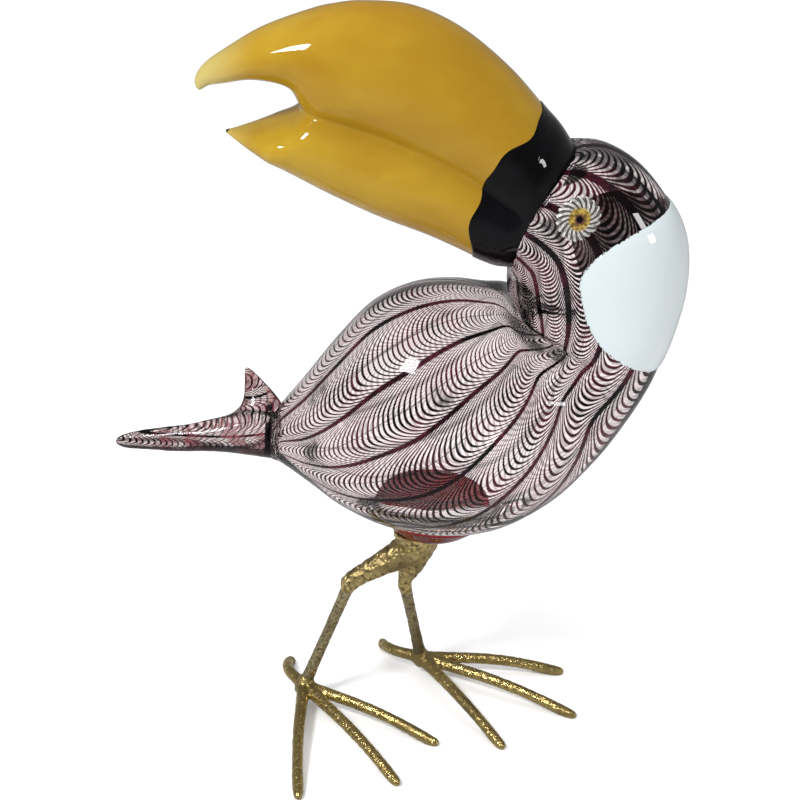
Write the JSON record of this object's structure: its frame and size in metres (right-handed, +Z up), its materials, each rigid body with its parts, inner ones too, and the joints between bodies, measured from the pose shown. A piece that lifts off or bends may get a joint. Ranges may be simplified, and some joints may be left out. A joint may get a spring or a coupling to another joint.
{
  "type": "toucan figurine",
  "caption": "Hollow threaded-glass toucan with a solid open beak, standing on a gilt brass pair of bird legs with splayed toes; static, nothing moves.",
  "frame": {"origin": "centre of the footprint of the bounding box, on the surface it stands on", "axes": "+Z up; the glass bird's symmetry plane is parallel to the XZ plane and its beak points along -X; the legs face 45 degrees round from +X towards -Y"},
  "size_m": [0.2496, 0.1328, 0.3377],
  "materials": {
    "threaded_glass": "clear blown glass with dark purple combed threads and long dark canes, fire polished",
    "yellow_glass": "opaque mustard yellow glass, paler and greener at the tips, fire polished",
    "black_glass": "opaque black glass, fire polished",
    "white_glass": "opaque white glass, fire polished",
    "red_glass": "dark red transparent glass, fire polished",
    "clear_glass": "clear glass with fine white rays",
    "amber_glass": "amber glass disc with a dark toothed rim",
    "gilt_brass": "cast, hammer-textured and gilt, browner in the hollows"
  },
  "bodies": {
    "root": {"glass_bubble": "threaded_glass", "tail_fork": "threaded_glass", "beak": "yellow_glass", "beak_collar": "black_glass", "nape_patch": "white_glass", "foot_pad": "red_glass", "left_eye_rosette": "clear_glass", "left_eye_iris": "amber_glass", "left_eye_pupil": "black_glass", "right_eye_rosette": "clear_glass", "right_eye_iris": "amber_glass", "right_eye_pupil": "black_glass", "thigh_casting": "gilt_brass", "right_shank": "gilt_brass", "right_foot_hub": "gilt_brass", "right_inner_front_toe": "gilt_brass", "right_middle_front_toe": "gilt_brass", "right_outer_front_toe": "gilt_brass", "right_hind_toe": "gilt_brass", "left_shank": "gilt_brass", "left_foot_hub": "gilt_brass", "left_inner_front_toe": "gilt_brass", "left_middle_front_toe": "gilt_brass", "left_outer_front_toe": "gilt_brass", "left_hind_toe": "gilt_brass"}
  },
  "joints": []
}
